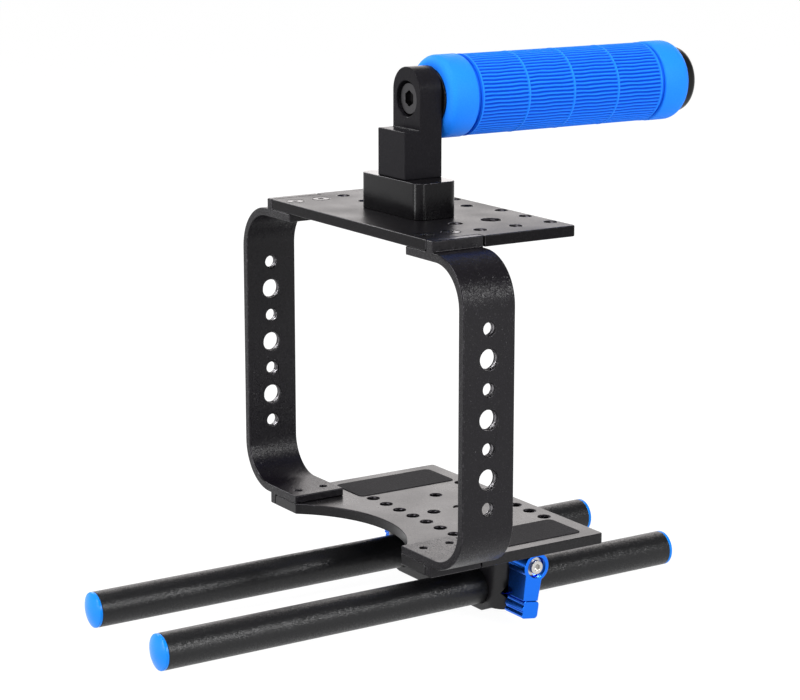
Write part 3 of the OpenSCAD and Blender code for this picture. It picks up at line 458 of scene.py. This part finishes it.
# How much painted shade darkens the blue in each kind of hollow, from 0 to 1.
GROOVE_SHADE, GAP_SHADE, FOOT_SHADE, RING_SHADE, VALLEY_CURVE = 0.6, 0.5, 0.3, 0.1, 0.65
# The step between two stations that make a square corner, and the angle that stays sharp.
HAIR, CREASE = 0.02, 50
MOTTLE, MOTTLE_DEPTH = 0.5, 0.03
PEEL_DEPTH, PEEL_GLOSS_DRIFT = 0.03, 0.04
BAR_EDGE, CAP_EDGE = 0.2, 0.3


def collar_round(place, way, size, angles):
    """Stations of a collar's rounded edge: from its face at place, into the collar along way."""
    return [(place + way * size * (1 - math.sin(a)), COLLAR_R - size * (1 - math.cos(a)), 0, 0, 0)
            for a in angles]


def grip_stations():
    """Stations along the grip: (distance, radius, share of a rib's depth, shade, field)."""
    lip = [0, math.pi / 4, math.pi / 2]
    start, end = FRONT_COLLAR + GROOVE_WIDTH, GRIP_LENGTH - REAR_COLLAR
    rows = [(BORE_EDGE, BORE_R, 0, 0, 0), (0.0, BORE_R, 0, 0, 0)]
    rows += collar_round(0, 1, FRONT_ROUND, [math.radians(d) for d in range(90, -1, -9)])
    rows += collar_round(FRONT_COLLAR, -1, COLLAR_LIP, lip)
    rows += [(FRONT_COLLAR + HAIR, GROOVE_R, 0, GROOVE_SHADE, 0),
             (start - HAIR, GROOVE_R, 0, GROOVE_SHADE, 0),
             (start, GAP_R, 0, GAP_SHADE, 0), (start + GAP_WIDTH, GAP_R, 0, GAP_SHADE, 0)]
    start += GAP_WIDTH
    ribbed = end - GROOVE_WIDTH - GAP_WIDTH - start
    field_length = (ribbed - (FIELDS + 1) * RING_WIDTH) / FIELDS
    for f in range(FIELDS + 1):
        rows += [(start + HAIR, RING_FOOT_R, 0, RING_SHADE, f), (start + RING_EDGE, RING_R, 0, 0, f),
                 (start + RING_WIDTH - RING_EDGE, RING_R, 0, 0, f),
                 (start + RING_WIDTH - HAIR, RING_FOOT_R, 0, RING_SHADE, f)]
        start += RING_WIDTH
        if f < FIELDS:
            full, length = start + FIELD_RAMP, field_length - 2 * FIELD_RAMP
            rows += [(start + FIELD_FOOT, RIB_R, FOOT_DEPTH, FOOT_SHADE, f)]
            rows += [(full + length * k / FIELD_STEPS, RIB_R, 1, 0, f) for k in range(FIELD_STEPS + 1)]
            rows += [(start + field_length - FIELD_FOOT, RIB_R, FOOT_DEPTH, FOOT_SHADE, f)]
            start += field_length
    rows += [(start + HAIR, GAP_R, 0, GAP_SHADE, 0), (start + GAP_WIDTH, GAP_R, 0, GAP_SHADE, 0),
             (start + GAP_WIDTH + HAIR, GROOVE_R, 0, GROOVE_SHADE, 0),
             (end - HAIR, GROOVE_R, 0, GROOVE_SHADE, 0)]
    rows += collar_round(end, 1, COLLAR_LIP, reversed(lip))
    stop = math.acos(1 - (COLLAR_R - REAR_FACE_R) / REAR_ROUND)
    rows += collar_round(GRIP_LENGTH + REAR_ROUND * (1 - math.sin(stop)), -1, REAR_ROUND,
                         [stop * k / REAR_STEPS for k in range(REAR_STEPS + 1)])
    return rows + [(GRIP_LENGTH, BORE_R, 0, 0, 0), (GRIP_LENGTH - BORE_EDGE, BORE_R, 0, 0, 0)]


# Dyed through and moulded matt: strong blue with no reflections and a fine mottle half a
# millimetre wide. Painted shade: a deeper blue in the valleys between the ribs and in the
# grooves, gaps and ring feet, where light doesn't reach.
blue_rubber, tree, place = blank_finish("moulded_blue_rubber")
painted_valley_shade = add(tree, "ShaderNodeAttribute", {"attribute_name": "painted_valley_shade"})
mottle = add(tree, "ShaderNodeTexNoise", {"Scale": 1 / (MOTTLE * MM), "Detail": 3.0},
             {"Vector": place})
body = add(tree, "ShaderNodeMix", {"data_type": "RGBA", "A": linear("#1672ea"), "B": linear("#2484f8")},
           {"Factor": mottle.outputs["Fac"]})
painted_shade_blue = add(tree, "ShaderNodeMix", {"data_type": "RGBA", "B": linear("#0036b4")},
           {"Factor": painted_valley_shade.outputs["Fac"], "A": body.outputs["Result"]})
relief = add(tree, "ShaderNodeBump", {"Strength": 0.25, "Distance": MOTTLE_DEPTH * MM},
             {"Height": mottle.outputs["Fac"]})
skin = add(tree, "ShaderNodeBsdfPrincipled", {"Roughness": 0.55, "Specular IOR Level": 0.06},
           {"Base Color": painted_shade_blue.outputs["Result"], "Normal": relief.outputs["Normal"]})
add(tree, "ShaderNodeOutputMaterial", links={"Surface": skin.outputs["BSDF"]})

around = RIBS * RIB_STEPS
stations = grip_stations()
verts, painted_shades, faces = [], [], []
for y, radius, share, shade, field in stations:
    for k in range(around):
        angle = 2 * math.pi * k / around
        # A long and a short wave along the grip, out of step round it and from field to field.
        long_wave = math.sin(2 * math.pi * y / LONG_WAVE + 2 * math.sin(3 * angle) + 1.7 * field)
        short_wave = math.sin(2 * math.pi * y / SHORT_WAVE + 3 * math.sin(5 * angle))
        turn = angle + share * WAVE * (long_wave + short_wave / 2) * 2 * math.pi / RIBS
        low = share * (1 - min(1.0, CREST_WIDTH * (0.5 + 0.5 * math.cos(RIBS * angle))))
        r = radius - RIB_DEPTH * low
        verts.append((r * math.cos(turn) * MM, (GRIP_START + y) * MM,
                      (GRIP_AXIS_Z + r * math.sin(turn)) * MM))
        # Painted shade: darker blue towards each rib's valley and in the hollows between fields.
        painted_shades.append(max(shade, low ** VALLEY_CURVE))
for row in range(0, (len(stations) - 1) * around, around):
    for k in range(around):
        a, b = row + k, row + (k + 1) % around
        faces.append((a, a + around, b + around, b))
sleeve = new_piece("grip_sleeve", verts, faces, blue_rubber)
sleeve.data.attributes.new("painted_valley_shade", "FLOAT", "POINT").data.foreach_set("value", painted_shades)
sleeve.data.update()
for face in sleeve.data.polygons:
    face.use_smooth = True
sleeve.data.set_sharp_from_angle(angle=math.radians(CREASE))
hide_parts("handle_grip")

# The bar is bare and turned. The sleeve and the cap hide it.
bare_bar = tooled_metal("turned_aluminium", "#c9c9cc", rough=0.35, mark=0.4)
dress("handle_core", bare_bar, edge=BAR_EDGE)


def moulded_plastic(name, colour, rough, peel, mirror):
    """Injection-moulded plastic, with a faint orange peel of marks peel mm wide."""
    finish, tree, place = blank_finish(name)
    skin_marks = add(tree, "ShaderNodeTexNoise", {"Scale": 1 / (peel * MM), "Detail": 1.5},
                     {"Vector": place})
    relief = add(tree, "ShaderNodeBump", {"Strength": 0.15, "Distance": PEEL_DEPTH * MM},
                 {"Height": skin_marks.outputs["Fac"]})
    gloss = add(tree, "ShaderNodeMapRange",
                {"To Min": rough - PEEL_GLOSS_DRIFT, "To Max": rough + PEEL_GLOSS_DRIFT},
                {"Value": skin_marks.outputs["Fac"]})
    skin = add(tree, "ShaderNodeBsdfPrincipled",
               {"Base Color": linear(colour), "Specular IOR Level": mirror},
               {"Roughness": gloss.outputs["Result"], "Normal": relief.outputs["Normal"]})
    add(tree, "ShaderNodeOutputMaterial", links={"Surface": skin.outputs["BSDF"]})
    return finish


# Moulded in a polished tool: black with one soft highlight on its rounded rim.
black_plastic = moulded_plastic("moulded_black_plastic", "#0b0b0c", rough=0.3, peel=0.8, mirror=0.2)
dress("handle_end_cap", black_plastic, edge=CAP_EDGE)

# Rod clamp.
# A block of the same black anodised aluminium, bored for the rods and sawn through above each
# bore, so that the levers' studs can pull the outer jaws in.
CLAMP_EDGE = 0.3
# Glossier than the plates: its flat sides show a soft reflection of the floor.
clamp_anodising = anodised("black_anodised_clamp_block", "#0c0b0e", painted_glint_colour="#222025",
                           grain=0.35, rough=0.3, tilt=0.06, mirror=0.35)
dress("rod_clamp", clamp_anodising, edge=CLAMP_EDGE)

# Clamp levers.
# Small machined aluminium levers, bright blue anodised, with grooves across the tip.
# Each is held on its stud by a washer and a small screw, and all of them turn together.
LEVER_EDGE = 0.35
# The dye is clear over bright metal: every reflection turns blue, from pale to nearly black.
blue_anodising = tooled_metal("blue_anodised_aluminium", "#2272ec", rough=0.2, mark=0.3)
for side in ("left", "right"):
    dress(side + "_lever", blue_anodising, edge=LEVER_EDGE, segments=3)

# Rods and their plugs.
# Drawn aluminium tubes, satin black anodised, with a domed blue plastic plug in each end.
# They slide through the clamp while its levers are loose.
TUBE_EDGE, PLUG_EDGE = 0.2, 0.3
TUBE_MARK, TUBE_STRETCH, TUBE_GRAIN, TUBE_TILT = 0.45, 0.35, 0.3, 0.13
# Drawn, then etched: black with one long soft streak, broken up by fine grain. The marks run
# along the tube. They are finer in truth, and are drawn a pixel wide so that they show.
satin_tube, tree, place = blank_finish("satin_black_anodised_tube")
stretch = add(tree, "ShaderNodeMapping", {"Scale": (1.0, TUBE_STRETCH, 1.0)}, {"Vector": place})
marks = add(tree, "ShaderNodeTexNoise", {"Scale": 1 / (TUBE_MARK * MM), "Detail": 4.0, "Roughness": 0.65},
            {"Vector": stretch.outputs["Vector"]})
tone = add(tree, "ShaderNodeMix", {"data_type": "RGBA", "A": linear("#050506"), "B": linear("#141416")},
           {"Factor": marks.outputs["Fac"]})
grains = add(tree, "ShaderNodeTexVoronoi", {"Scale": 1 / (TUBE_GRAIN * MM)}, {"Vector": place})
skin = add(tree, "ShaderNodeBsdfPrincipled", {"Roughness": 0.36, "Specular IOR Level": 0.32},
           {"Base Color": tone.outputs["Result"], "Normal": tip_grains(tree, grains, TUBE_TILT)})
add(tree, "ShaderNodeOutputMaterial", links={"Surface": skin.outputs["BSDF"]})
# Moulded in clear bright blue: lighter than the levers, with hardly any reflection on the dome.
blue_plastic = moulded_plastic("moulded_blue_plastic", "#0478d8", rough=0.3, peel=0.7, mirror=0.2)
for side in ("left", "right"):
    dress(side + "_rod", satin_tube, edge=TUBE_EDGE)
    for end in ("front", "rear"):
        dress(f"{side}_rod_{end}_plug", blue_plastic, edge=PLUG_EDGE, segments=3)
